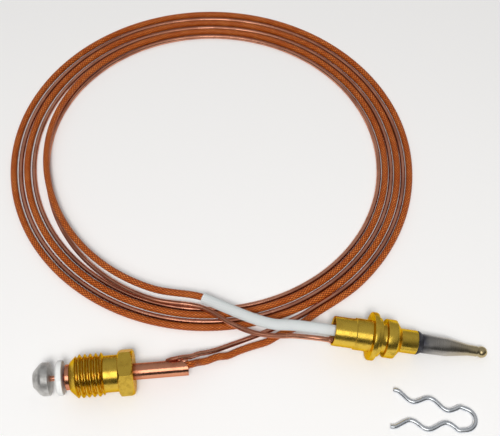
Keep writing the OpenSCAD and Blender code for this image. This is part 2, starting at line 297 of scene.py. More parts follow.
def swept_mesh(
    path: Sequence[Vector],
    sides: int,
    radius: Callable[[float, float], float],
    flatten: Callable[[float], tuple[float, float, Vector]] | None = None,
) -> bmesh.types.BMesh:
    """Wrap a grid round a path as a closed rod, with its distance in the UV map.

    Args:
        path: Evenly spaced points, in metres.
        sides: Faces round the rod.
        radius: Radius in metres, from the angle and the distance along the path.
        flatten: Gives, from the distance along the path, a thickness factor, a width
            factor and the direction that the rod is hammered down from.

    Returns:
        The mesh, in metres. UV u is the turn and v the distance in metres.
    """
    bm = bmesh.new()
    rows = len(path) - 1
    bm.loops.layers.uv.new("UVMap")
    bmesh.ops.create_grid(bm, x_segments=sides, y_segments=rows, size=0.5, calc_uvs=True)
    uv_layer = bm.loops.layers.uv.active
    step = path_length(path) / rows
    frames = []
    for i, point in enumerate(path):
        forward = (path[min(i + 1, rows)] - path[max(i - 1, 0)]).normalized()
        across = Vector((0, 0, 1)).cross(forward).normalized()
        frames.append((point, across, forward.cross(across)))
    for face in bm.faces:
        for loop in face.loops:
            u, v = loop.vert.co.x + 0.5, loop.vert.co.y + 0.5
            loop[uv_layer].uv = (u, v * rows * step)
    for vert in bm.verts:
        angle = (vert.co.x + 0.5) * TURN
        i = round((vert.co.y + 0.5) * rows)
        point, across, up = frames[i]
        reach = radius(angle, i * step)
        offset = (across * math.cos(angle) + up * math.sin(angle)) * reach
        if flatten:
            thin, wide, direction = flatten(i * step)
            share = offset.dot(direction) * direction
            offset = share * thin + (offset - share) * wide - direction * reach * (1 - thin)
        vert.co = point + offset
    bmesh.ops.remove_doubles(bm, verts=bm.verts[:], dist=1e-6)
    rims = [e for e in bm.edges if e.is_boundary]
    bmesh.ops.holes_fill(bm, edges=rims, sides=0)
    bmesh.ops.recalc_face_normals(bm, faces=bm.faces[:])
    return bm


def lump_mesh(centre: Vector, size: Vector, matrix: Matrix, seed: float, rough: float) -> bmesh.types.BMesh:
    """Make an uneven drop of solder.

    Args:
        centre: Middle of the drop in the matrix's own space, in mm.
        size: Half sizes along the three axes, in mm.
        matrix: Places the mesh.
        seed: Shifts the noise, so that drops differ.
        rough: Depth of the unevenness, as a share of the size.

    Returns:
        The mesh, in metres.
    """
    bm = bmesh.new()
    bmesh.ops.create_icosphere(bm, subdivisions=4, radius=1.0)
    for vert in bm.verts:
        swell = 1 + rough * noise.noise(vert.co * 1.6 + Vector((seed, 0, 0)))
        vert.co = Vector(vert.co[k] * swell * size[k] + centre[k] for k in range(3))
    bmesh.ops.transform(bm, matrix=matrix, verts=bm.verts)
    return bm


def joined(meshes: Iterable[bmesh.types.BMesh]) -> bmesh.types.BMesh:
    """Put several meshes into one, and free them.

    Args:
        meshes: Meshes to put together; each is freed.

    Returns:
        The mesh that holds them all.
    """
    whole = bmesh.new()
    for bm in meshes:
        part = bpy.data.meshes.new("part")
        bm.to_mesh(part)
        bm.free()
        whole.from_mesh(part)
        bpy.data.meshes.remove(part)
    return whole


def braid_height(turn: float, distance: float, carriers: int, pitch: float) -> float:
    """Height of a plain braid, from 0 in its gaps to 1 on its yarns.

    Args:
        turn: Place round the cord, from 0 to 1.
        distance: Distance along the cord.
        carriers: Yarns each way.
        pitch: Length of one yarn's step along the cord.

    Returns:
        The height.
    """
    a = carriers * turn + distance / pitch
    b = carriers * turn - distance / pitch
    over = (math.floor(a) + math.floor(b)) % 2 == 0
    ridge = abs(math.sin(math.pi * (a if over else b)))
    crown = abs(math.sin(math.pi * (b if over else a)))
    return ridge**0.6 * (0.72 + 0.28 * crown)


# --------------------------------------------------------------------------------------
# Shader maths
# --------------------------------------------------------------------------------------

Number = Union[float, "Value"]
Colour = tuple[float, float, float]


class Value:
    """A number on a node's output, with Python's operators as Math nodes."""

    def __init__(self, graph: "Graph", socket: bpy.types.NodeSocket) -> None:
        """Wrap a socket of a graph's tree."""
        self.graph = graph
        self.socket = socket

    def _math(self, operation: str, *operands: Number) -> "Value":
        """Add one Math node.

        Args:
            operation: Its operation.
            operands: Its inputs, in order.

        Returns:
            Its output.
        """
        made = self.graph.node(
            "ShaderNodeMath", {"operation": operation}, dict(enumerate(operands))
        )
        return Value(self.graph, made.outputs[0])

    def __add__(self, other: Number) -> "Value":
        """Add."""
        return self._math("ADD", self, other)

    __radd__ = __add__

    def __sub__(self, other: Number) -> "Value":
        """Subtract."""
        return self._math("SUBTRACT", self, other)

    def __rsub__(self, other: Number) -> "Value":
        """Subtract this from a number."""
        return self._math("SUBTRACT", other, self)

    def __mul__(self, other: Number) -> "Value":
        """Multiply."""
        return self._math("MULTIPLY", self, other)

    __rmul__ = __mul__

    def __truediv__(self, other: Number) -> "Value":
        """Divide."""
        return self._math("DIVIDE", self, other)

    def __pow__(self, other: Number) -> "Value":
        """Raise to a power."""
        return self._math("POWER", self, other)

    def __abs__(self) -> "Value":
        """Drop the sign."""
        return self._math("ABSOLUTE", self)

    def sine(self) -> "Value":
        """Sine of an angle in radians."""
        return self._math("SINE", self)

    def floor(self) -> "Value":
        """Round down."""
        return self._math("FLOOR", self)

    def modulo(self, other: float) -> "Value":
        """Remainder, never negative."""
        return self._math("FLOORED_MODULO", self, other)

    def root(self) -> "Value":
        """Square root."""
        return self._math("SQRT", self)

    def band(self, low: float, high: float) -> "Value":
        """Rise smoothly from 0 to 1.

        Args:
            low: Value at which the result is 0.
            high: Value at which it is 1.

        Returns:
            The smooth step.
        """
        made = self.graph.node(
            "ShaderNodeMapRange", {"interpolation_type": "SMOOTHSTEP"},
            {"Value": self, "From Min": low, "From Max": high},
        )
        return Value(self.graph, made.outputs[0])


class Graph:
    """A node tree and the ways to fill it."""

    def __init__(self, tree: bpy.types.NodeTree) -> None:
        """Wrap a tree."""
        self.tree = tree

    def node(self, kind: str, settings: dict | None = None, inputs: dict | None = None) -> bpy.types.Node:
        """Add a node.

        Args:
            kind: Node type.
            settings: Attributes, set first; "stops" are a ramp's (place, colour) pairs.
            inputs: Sockets by name or number, each with a value, a Value or a socket.

        Returns:
            The node.
        """
        made = self.tree.nodes.new(kind)
        for key, value in (settings or {}).items():
            if key == "stops":
                self._set_stops(made.color_ramp, value)
            else:
                setattr(made, key, value)
        for key, value in (inputs or {}).items():
            self.feed(made.inputs[key], value)
        return made

    @staticmethod
    def _set_stops(ramp: bpy.types.ColorRamp, stops: Sequence[tuple[float, Colour]]) -> None:
        """Write a ramp's stops.

        Args:
            ramp: The ramp node.
            stops: Place and colour of each stop.
        """
        while len(ramp.elements) < len(stops):
            ramp.elements.new(0.5)
        for element, (place, colour) in zip(ramp.elements, stops):
            element.position = place
            element.color = (*colour, 1.0)

    def feed(self, socket: bpy.types.NodeSocket, value: object) -> None:
        """Set a socket's value, or link it.

        Args:
            socket: Socket to set.
            value: A number, a colour or another node's socket.
        """
        if isinstance(value, Value):
            self.tree.links.new(value.socket, socket)
        elif isinstance(value, bpy.types.NodeSocket):
            self.tree.links.new(value, socket)
        elif isinstance(value, tuple) and socket.type == "RGBA":
            socket.default_value = (*value, 1.0)
        else:
            socket.default_value = value

    def split(self, vector: bpy.types.NodeSocket) -> tuple["Value", "Value", "Value"]:
        """Take a vector apart."""
        parts = self.node("ShaderNodeSeparateXYZ", inputs={0: vector}).outputs
        return Value(self, parts[0]), Value(self, parts[1]), Value(self, parts[2])

    def mix(self, share: Number, a: object, b: object) -> bpy.types.NodeSocket:
        """Blend two colours."""
        made = self.node("ShaderNodeMix", {"data_type": "RGBA"}, {0: share, 6: a, 7: b})
        return made.outputs[2]

    def ramp(self, share: Number, stops: Sequence[tuple[float, Colour]]) -> bpy.types.NodeSocket:
        """Look a colour up along stops."""
        return self.node("ShaderNodeValToRGB", {"stops": stops}, {0: share}).outputs[0]


class Shade(Graph):
    """A material's node tree around one Principled shader."""

    def __init__(self, name: str) -> None:
        """Start a material.

        Args:
            name: Material name.
        """
        self.material = bpy.data.materials.new(name)
        self.material.use_nodes = True
        super().__init__(self.material.node_tree)
        self.shader = self.tree.nodes["Principled BSDF"]

    def own_mm(self, axis: Axis | None = None) -> bpy.types.NodeSocket:
        """Coordinates of the piece in mm, about an axis if one is given.

        Args:
            axis: Axis to measure about, or None for the piece's own frame.

        Returns:
            The coordinates.
        """
        place = self.node("ShaderNodeTexCoord").outputs["Object"]
        matrix = axis.matrix() if axis else Matrix.Scale(MM, 4)
        location, rotation, scale = matrix.decompose()
        mapped = self.node(
            "ShaderNodeMapping", {"vector_type": "TEXTURE"},
            {"Vector": place, "Location": location, "Rotation": rotation.to_euler(), "Scale": scale},
        )
        return mapped.outputs[0]

    def uv(self) -> tuple["Value", "Value"]:
        """Turn and distance in metres of a swept piece."""
        layer = self.node("ShaderNodeUVMap", {"uv_map": "UVMap"}).outputs[0]
        turn, distance, _ = self.split(layer)
        return turn, distance

    def noise(self, vector: bpy.types.NodeSocket, scale: float, detail: float = 3.0) -> "Value":
        """Noise on a vector, from 0 to 1."""
        made = self.node(
            "ShaderNodeTexNoise", inputs={"Vector": vector, "Scale": scale, "Detail": detail}
        )
        return Value(self, made.outputs[0])

    def lines(self, along: "Value", scale: float, detail: float = 4.0) -> "Value":
        """Noise that changes along one value only, as turning marks do.

        Args:
            along: Value that the lines follow.
            scale: How close they stand.
            detail: Octaves of noise.

        Returns:
            Noise, 0 to 1.
        """
        made = self.node(
            "ShaderNodeTexNoise", {"noise_dimensions": "1D"},
            {"W": along, "Scale": scale, "Detail": detail},
        )
        return Value(self, made.outputs[0])

    def bump(self, height: "Value", strength: float, distance_mm: float) -> bpy.types.NodeSocket:
        """Turn a height into a normal.

        Args:
            height: Height, 0 to 1.
            strength: Share of the slope that is kept.
            distance_mm: Depth of the relief, in mm.

        Returns:
            The bumped normal.
        """
        made = self.node(
            "ShaderNodeBump",
            inputs={"Height": height, "Strength": strength, "Distance": distance_mm * MM},
        )
        return made.outputs[0]

    def finish(self, **sockets: object) -> bpy.types.Material:
        """Fill the shader's sockets, named with underscores, and return the material."""
        for name, value in sockets.items():
            self.feed(self.shader.inputs[name.replace("_", " ")], value)
        return self.material


# --------------------------------------------------------------------------------------
# Finishes
# --------------------------------------------------------------------------------------


@dataclass(frozen=True)
class TurnedMetal:
    """Metal cut on a lathe: rings of fine marks and faint stains."""

    name: str
    bright: Colour
    stained: Colour
    roughness: float = 0.24
    mark_depth_mm: float = 0.008
    stain_share: float = 0.45
    rim: Colour = (0.85, 0.60, 0.22)

    def build(self, axis: Axis) -> bpy.types.Material:
        """Make the material about the piece's axis.

        Args:
            axis: Axis that the marks run round.

        Returns:
            The material.
        """
        shade = Shade(self.name)
        own = shade.own_mm(axis)
        x, y, z = shade.split(own)
        radius = (x * x + y * y).root()
        marks = shade.lines(z + radius * 0.7, 14.0, 5.0)
        fine = shade.lines(z + radius, 60.0, 2.0)
        stains = shade.noise(own, 0.9, 5.0)
        speckle = shade.noise(own, 9.0, 2.0)
        stained = (stains.band(0.45, 0.75) * self.stain_share + speckle.band(0.62, 0.8) * 0.2)
        colour = shade.mix(stained, self.bright, self.stained)
        roughness = self.roughness + marks * 0.1 + stains.band(0.4, 0.7) * 0.08
        normal = shade.bump(marks * 0.7 + fine * 0.3, 0.5, self.mark_depth_mm)
        return shade.finish(
            Base_Color=colour, Metallic=1.0, Roughness=roughness, Normal=normal, Specular_Tint=self.rim
        )


@dataclass(frozen=True)
class DrawnCopper:
    """Copper wire or tube: dull patches and a few nicks."""

    name: str
    bright: Colour = (0.86, 0.47, 0.33)
    dull: Colour = (0.50, 0.22, 0.14)
    roughness: float = 0.26
    rim: Colour = (0.75, 0.42, 0.30)

    def build(self) -> bpy.types.Material:
        """Make the material on the piece's own coordinates.

        Returns:
            The material.
        """
        shade = Shade(self.name)
        own = shade.own_mm()
        patches = shade.noise(own, 0.22, 4.0)
        nicks = shade.noise(own, 3.2, 3.0)
        tarnish = patches.band(0.42, 0.68) * 0.55 + nicks.band(0.6, 0.74) * 0.3
        colour = shade.mix(tarnish, self.bright, self.dull)
        roughness = self.roughness + patches.band(0.35, 0.7) * 0.16
        normal = shade.bump(nicks, 0.35, 0.05)
        return shade.finish(
            Base_Color=colour, Metallic=1.0, Roughness=roughness, Normal=normal, Specular_Tint=self.rim
        )


@dataclass(frozen=True)
class BraidedYarn:
    """Braid of yarns that follows a cord's UV map, with painted highlights on the yarn crowns and painted
    shade in the gaps between yarns.
    """

    name: str
    carriers: int
    pitch_mm: float
    yarn: Colour
    # Painted highlight colour, put on the yarn crowns.
    yarn_highlight: Colour
    # Painted shade colour, put in the gaps between yarns.
    gap: Colour
    roughness: float
    coat: float = 0.0
    # Share of the crowns' painted highlight that comes in flecks.
    speckle: float = 0.3
    specular: float = 0.5

    def build(self) -> bpy.types.Material:
        """Make the material on the cord's turn and distance.

        Returns:
            The material.
        """
        shade = Shade(self.name)
        turn, distance = shade.uv()
        step = distance * (1 / (self.pitch_mm * MM))
        a = turn * float(self.carriers) + step
        b = turn * float(self.carriers) - step
        over = (a.floor() + b.floor()).modulo(2.0)
        ridge_a = abs((a * math.pi).sine())
        ridge_b = abs((b * math.pi).sine())
        ridge = ridge_b * over + ridge_a * (1 - over)
        own = shade.own_mm()
        tone = shade.noise(own, 0.35, 3.0)
        # Noise that breaks the painted highlight into flecks.
        glint_flecks = shade.noise(own, 5.5, 2.0)
        crown = ridge_a * ridge_b
        # Painted highlight: the crowns take the highlight colour, in flecks and broad patches.
        light = (glint_flecks.band(0.5, 0.66) * self.speckle + tone.band(0.4, 0.7) * 0.25) * crown
        body = shade.mix(light, self.yarn, self.yarn_highlight)
        # Painted shade: the gaps between yarns take the dark gap colour.
        colour = shade.mix((ridge * 0.6 + crown * 0.4).band(0.15, 0.75), self.gap, body)
        threads = abs(((a + b) * (2.5 * math.pi)).sine())
        normal = shade.bump(ridge * 0.8 + threads * 0.2, 0.6, 0.05)
        shade.shader.inputs["Coat Roughness"].default_value = 0.18
        return shade.finish(
            Base_Color=colour, Roughness=self.roughness + (1 - ridge) * 0.2,
            Coat_Weight=self.coat, Normal=normal, Specular_IOR_Level=self.specular,
        )


@dataclass(frozen=True)
class HeatedSteel:
    """Steel sheath, darkened by brazing at one end and tempered at the other."""

    name: str
    start: float
    end: float

    def build(self, axis: Axis) -> bpy.types.Material:
        """Make the material about the head's axis.

        Args:
            axis: The head's axis.

        Returns:
            The material.
        """
        shade = Shade(self.name)
        own = shade.own_mm(axis)
        x, y, z = shade.split(own)
        cloud = shade.noise(own, 0.8, 4.0)
        brushed = shade.lines(z, 22.0, 5.0)
        place = (z - self.start) * (1 / (self.end - self.start)) + (cloud - 0.5) * 0.16
        colour = shade.ramp(place, [
            (0.0, (0.10, 0.10, 0.12)), (0.10, (0.30, 0.29, 0.28)), (0.34, (0.46, 0.43, 0.39)),
            (0.58, (0.46, 0.40, 0.30)), (0.80, (0.52, 0.43, 0.26)), (1.0, (0.56, 0.44, 0.22)),
        ])
        roughness = 0.20 + brushed * 0.16 + (1 - place.band(0.0, 0.2)) * 0.2
        normal = shade.bump(brushed, 0.4, 0.012)
        return shade.finish(Base_Color=colour, Metallic=1.0, Roughness=roughness, Normal=normal)


@dataclass(frozen=True)
class CastSkin:
    """Dull cast or soldered metal with a pitted skin."""

    name: str
    bright: Colour
    dull: Colour
    roughness: float = 0.42
    metallic: float = 1.0
    grain: float = 3.0
    depth_mm: float = 0.05

    def build(self) -> bpy.types.Material:
        """Make the material on the piece's own coordinates.

        Returns:
            The material.
        """
        shade = Shade(self.name)
        own = shade.own_mm()
        clouds = shade.noise(own, self.grain * 0.35, 4.0)
        grain = shade.noise(own, self.grain, 4.0)
        colour = shade.mix(clouds.band(0.38, 0.68), self.bright, self.dull)
        roughness = self.roughness + grain * 0.18
        normal = shade.bump(grain, 0.5, self.depth_mm)
        return shade.finish(
            Base_Color=colour, Metallic=self.metallic, Roughness=roughness, Normal=normal
        )


@dataclass(frozen=True)
class Matt:
    """Matt board, ceramic, enamel or potting with a fine grain."""

    name: str
    base: Colour
    shadow: Colour
    roughness: float = 0.6
    coat: float = 0.0
    grain: float = 4.0

    def build(self) -> bpy.types.Material:
        """Make the material on the piece's own coordinates.

        Returns:
            The material.
        """
        shade = Shade(self.name)
        own = shade.own_mm()
        clouds = shade.noise(own, self.grain * 0.3, 4.0)
        grain = shade.noise(own, self.grain * 2, 3.0)
        colour = shade.mix(clouds.band(0.4, 0.75) * 0.6, self.base, self.shadow)
        normal = shade.bump(grain, 0.4, 0.04)
        return shade.finish(
            Base_Color=colour, Roughness=self.roughness + grain * 0.1,
            Coat_Weight=self.coat, Normal=normal,
        )


BRASS = TurnedMetal("turned_brass", (0.80, 0.54, 0.075), (0.52, 0.31, 0.04), 0.19)
NUT_BRASS = TurnedMetal("nut_brass", (0.74, 0.49, 0.07), (0.44, 0.26, 0.035), 0.19)
COPPER_WIRE = DrawnCopper("copper_wire", (0.74, 0.34, 0.22), (0.40, 0.14, 0.08), 0.2)
COPPER_TUBE = DrawnCopper("copper_tube", (0.74, 0.32, 0.19), (0.40, 0.13, 0.07), 0.16)
# In each braid the second colour is a painted highlight for the yarn crowns and the third a painted shade
# for the gaps between yarns.
VARNISHED = BraidedYarn(
    "varnished_braid", 8, 0.8, (0.44, 0.082, 0.006), (0.95, 0.34, 0.08), (0.10, 0.014, 0.001), 0.42,
    coat=0.12, speckle=1.0, specular=0.25,
)
GLASS_FIBRE = BraidedYarn(
    "glass_fibre_braid", 16, 0.6, (0.80, 0.83, 0.83), (0.95, 0.96, 0.96), (0.40, 0.44, 0.45), 0.6,
    speckle=0.7,
)
TIN = CastSkin("dull_tin", (0.66, 0.65, 0.63), (0.52, 0.51, 0.49), 0.40, depth_mm=0.02)
BRAZE = CastSkin("dark_braze", (0.13, 0.13, 0.15), (0.06, 0.06, 0.07), 0.5)
SOLDER = CastSkin("copper_braze", (0.86, 0.42, 0.28), (0.52, 0.20, 0.12), 0.2, grain=1.6, depth_mm=0.08)
ZINC = CastSkin("zinc_wire", (0.82, 0.85, 0.89), (0.68, 0.72, 0.77), 0.14, grain=2.0, depth_mm=0.015)
CONSTANTAN = CastSkin("constantan", (0.62, 0.58, 0.52), (0.48, 0.44, 0.40), 0.3)
WHITE_BOARD = Matt("white_board", (0.86, 0.87, 0.86), (0.66, 0.67, 0.66), 0.55)
CERAMIC = Matt("ceramic_fibre", (0.88, 0.85, 0.78), (0.70, 0.67, 0.60), 0.7)
RED_ENAMEL = Matt("red_enamel", (0.26, 0.045, 0.03), (0.12, 0.02, 0.015), 0.35, coat=0.4)
POTTING = Matt("potting", (0.24, 0.06, 0.03), (0.10, 0.025, 0.015), 0.6)


# --------------------------------------------------------------------------------------
# Dressing
# --------------------------------------------------------------------------------------


def dress(piece: bpy.types.Object, material: bpy.types.Material) -> None:
    """Give a piece its one material."""
    piece.data.materials.clear()
    piece.data.materials.append(material)


def dress_node(node: str, material: bpy.types.Material) -> None:
    """Give a carried-over CAD node its material.

    Args:
        node: The node's name.
        material: The material for each of its slots.
    """
    piece = frame["nodes"][node]
    for slot in piece.material_slots:
        slot.material = material
    log.info("dressed CAD node %s", node)


def hand_over(piece: bpy.types.Object, body: Body, slot: str, *nodes: str) -> None:
    """Join a finished piece to the frame.

    Args:
        piece: The piece.
        body: The CAD body that it rides on.
        slot: The record's material slot; not used.
        nodes: The CAD nodes that it stands for.
    """
    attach(piece, body.value)
    if nodes:
        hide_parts(*nodes)
    log.info("built %s with %d faces", piece.name, len(piece.data.polygons))


# --------------------------------------------------------------------------------------
# Leads
# --------------------------------------------------------------------------------------


def settled(turns: float, landing: float) -> float:
    """Ease from 0 to 1 while a lead comes down into the coil.

    Args:
        turns: Turns since the lead joined the coil.
        landing: Turns that it takes to lie flat.

    Returns:
        How far it has settled, 0 to 1.
    """
    t = min(1.0, turns / landing)
    return t * t * (3 - 2 * t)


@dataclass
class Coil:
    """The coil, in which both leads wind side by side and outwards, clockwise seen from above."""

    centre: tuple[float, float] = (-12.0, 51.0)
    start_deg: float = 90.0
    points_per_turn: int = 24
    last_point: int = 70
    first_r: float = 34.5
    drift: float = 1.0
    oval: float = 0.5
    oval_deg: float = 30.0
    turn_gap: float = 2.6
    slack: float = 0.12
    slack_deg: float = 200.0
    crossing_r: float = 3.0
    bare_crossing_z: float = 1.6
    braid_crossing_z: float = 3.2
    lead_gap: float = 1.3
    bare_landing: float = 0.25
    braid_landing: float = 0.5

    def point(self, turns: float, lane: float, z: float) -> Vector:
        """Find one point of a lead in the coil.

        Args:
            turns: Turns since the lead joined the coil.
            lane: How far outside the bare lead's own line it lies, in mm.
            z: Height of the lead's middle, in mm.

        Returns:
            The point, in metres.
        """
        angle = math.radians(self.start_deg) + TURN * turns
        loose = 1 + self.slack * (1 + math.cos(angle - math.radians(self.slack_deg))) / 2
        r = self.first_r + self.drift * math.cos(angle)
        r += self.oval * math.cos(2 * (angle - math.radians(self.oval_deg)))
        r += self.crossing_r * (1 - settled(turns, self.bare_landing))
        r += (turns * self.turn_gap + lane) * loose
        return Vector((self.centre[0] + r * math.cos(angle), self.centre[1] - r * math.sin(angle), z)) * MM

    def bare(self, d: float) -> list[Vector]:
        """Points of the bare lead, of diameter d in mm.

        Args:
            d: Diameter of the lead, in mm.

        Returns:
            The points, in metres.
        """
        made = []
        for i in range(self.last_point + 1):
            turns = i / self.points_per_turn
            up = self.bare_crossing_z * (1 - settled(turns, self.bare_landing))
            made.append(self.point(turns, 0, d / 2 + up))
        return made

    def braided(self, d: float) -> list[Vector]:
        """Points of the braided lead, which comes in above and inside the bare one.

        Args:
            d: Diameter of the lead, in mm.

        Returns:
            The points, in metres.
        """
        made = []
        for i in range(self.last_point + 1):
            turns = i / self.points_per_turn
            above = 1 - settled(turns, self.braid_landing)
            lane = self.lead_gap * (1 - 2 * above)
            made.append(self.point(turns, lane, d / 2 + self.braid_crossing_z * above))
        return made


def mm_points(*points: tuple[float, float, float]) -> list[Vector]:
    """Turn points in mm into vectors in metres."""
    return [Vector(p) * MM for p in points]


@dataclass
class Leads:
    """The bare lead, the braided lead and the sleeve where it leaves the head."""

    head: Axis
    contact: Axis
    bare_d: float = 0.95
    braid_d: float = 1.4
    sleeve_d: float = 2.1
    sleeve_end: int = 8
    sleeve_trim: int = 8
    wire_side: float = -1.55
    wire_up: float = -0.95
    braze_side: float = 1.68
    braze_up: float = 1.05
    braid_up: float = 0.15
    tube_end: float = 28.4
    braid_end: float = 26.8

    def bare_route(self) -> list[Vector]:
        """Points of the bare lead, from inside the head to the copper tube.

        Returns:
            The points, in metres.
        """
        head = [self.head.point(z, self.wire_side, self.wire_up) for z in (3, 0, -3)]
        head += mm_points((6, 6.5, 4.5), (2, 7, 3.5), (-2, 8, 3), (-6, 10, 2.5))
        tail = mm_points(
            (5.5, 11.5, 0.5), (1.5, 9.5, 0.5), (-2, 8, 0.5), (-4.5, 7, 0.5), (-6.5, 6, 1),
            (-8.5, 5, 1.5), (-10.5, 4, 2.5), (-12, 3.5, 3), (-13.5, 2.5, 4),
        )
        tail += [self.contact.point(z, self.braze_side, self.braze_up) for z in (27, 24.4)]
        return head + Coil().bare(self.bare_d) + tail

    def braided_route(self) -> list[Vector]:
        """Points of the braided lead, from inside the head into the copper tube.

        Returns:
            The points, in metres.
        """
        head = [self.head.point(z, 0, self.braid_up) for z in (3.2, 1.6, 0, -3)]
        head += mm_points((6, 8, 6), (2, 8.5, 5.5), (-2, 10, 5), (-6, 12, 4.5))
        tail = mm_points(
            (6.5, 10, 0.7), (3.5, 8.5, 0.7), (1, 7, 0.7), (-2, 6, 0.7), (-4.5, 5, 0.8),
            (-6.5, 4, 1), (-8.5, 3.5, 1.5), (-10.5, 2.5, 2), (-12, 2, 2.5),
        )
        tail += [
            self.contact.point(self.tube_end + 0.5, 0.5, 0.1),
            self.contact.point(self.braid_end, 0.25, 0.05),
        ]
        return head + Coil().braided(self.braid_d) + tail

    def build_bare(self) -> None:
        """Make the bare lead, hammered flat where it is brazed on the tube."""
        path = smooth_path(self.bare_route(), 0.8 * MM)
        total = path_length(path)
        flat_len = 3.6 * MM
        outward = (self.contact.across * self.braze_side + self.contact.up * self.braze_up).normalized()

        def flatten(s: float) -> tuple[float, float, Vector]:
            """Thin and widen the last stretch, then round it off.

            Args:
                s: Distance along the lead, in metres.

            Returns:
                Thickness factor, width factor and the direction that it is thin in.
            """
            t = max(0.0, (s - (total - flat_len)) / flat_len)
            tip = math.sqrt(max(0.04, 1 - max(0.0, (t - 0.75) / 0.25) ** 2))
            thin = (1 - 0.4 * min(1.0, t * 1.4)) * (0.5 + 0.5 * tip)
            return thin, (1 + 0.55 * math.sin(math.pi * 0.5 * min(1.0, t * 1.6))) * tip, outward

        def radius(angle: float, s: float) -> float:
            """Round wire with faint dents."""
            dent = noise.noise(Vector((math.cos(angle), math.sin(angle), s * 180)))
            return (self.bare_d / 2 + 0.012 * dent) * MM

        piece = make_piece("bare_lead_wire", swept_mesh(path, 16, radius, flatten), 60)
        dress(piece, COPPER_WIRE.build())
        hand_over(piece, Body.MAIN, "copper", "bare_lead")
        self.bare_d * MM

    def build_braided(self) -> None:
        """Make the braided lead, and the sleeve that it leaves the head in."""
        path = smooth_path(self.braided_route(), 0.28 * MM)
        total = path_length(path)
        pitch = VARNISHED.pitch_mm * MM

        def radius(angle: float, s: float) -> float:
            """Braid with raised yarns and a slightly uneven girth."""
            height = braid_height(angle / TURN, s, VARNISHED.carriers, pitch)
            girth = noise.noise(Vector((0, 0, s * 120)))
            return (self.braid_d / 2 - 0.07 + 0.07 * height + 0.015 * girth) * MM

        piece = make_piece("braided_lead_cord", swept_mesh(path, 32, radius), 180)
        dress(piece, VARNISHED.build())
        hand_over(piece, Body.MAIN, "varnished_braid", "braided_lead")
        sleeve = self.build_sleeve()
        self.braid_d * MM

    def build_sleeve(self) -> bpy.types.Object:
        """Make the glass-fibre sleeve as a braided hose with a cut, slightly open end.

        Returns:
            The sleeve.
        """
        whole = smooth_path(self.braided_route()[1:self.sleeve_end + 1], 0.1 * MM)
        path = whole[:len(whole) - self.sleeve_trim]
        total = path_length(path)
        pitch = GLASS_FIBRE.pitch_mm * MM

        def radius(angle: float, s: float) -> float:
            """Raised yarns, flared where the sleeve was cut."""
            height = braid_height(angle / TURN, s, GLASS_FIBRE.carriers, pitch)
            flare = max(0.0, 1 - (total - s) / (1.2 * MM)) ** 2 * 0.12
            return (self.sleeve_d / 2 - 0.06 + 0.06 * height + flare) * MM

        bm = swept_mesh(path, 96, radius)
        ends = [f for f in bm.faces if len(f.verts) > 4]
        bmesh.ops.delete(bm, geom=ends, context="FACES_ONLY")
        rims = [e for e in bm.edges if e.is_boundary]
        inner = bmesh.ops.extrude_edge_only(bm, edges=rims)["geom"]
        moved = [v for v in inner if isinstance(v, bmesh.types.BMVert)]
        for vert in moved:
            near = min((path[0], path[-1]), key=lambda p: (p - vert.co).length)
            vert.co = near + (vert.co - near) * 0.7
        deeper = bmesh.ops.extrude_edge_only(
            bm, edges=[e for e in inner if isinstance(e, bmesh.types.BMEdge) and e.is_boundary]
        )["geom"]
        for vert in (v for v in deeper if isinstance(v, bmesh.types.BMVert)):
            at_start = (path[0] - vert.co).length < (path[-1] - vert.co).length
            inward = (path[12] - path[0]) if at_start else (path[-13] - path[-1])
            vert.co += inward
        bmesh.ops.holes_fill(bm, edges=[e for e in bm.edges if e.is_boundary], sides=0)
        bmesh.ops.recalc_face_normals(bm, faces=bm.faces[:])
        piece = make_piece("glass_fibre_sleeve", bm, 70)
        dress(piece, GLASS_FIBRE.build())
        hand_over(piece, Body.MAIN, "glass_fibre", "fibre_sleeve")
        return piece


# --------------------------------------------------------------------------------------
# Probe head
# --------------------------------------------------------------------------------------


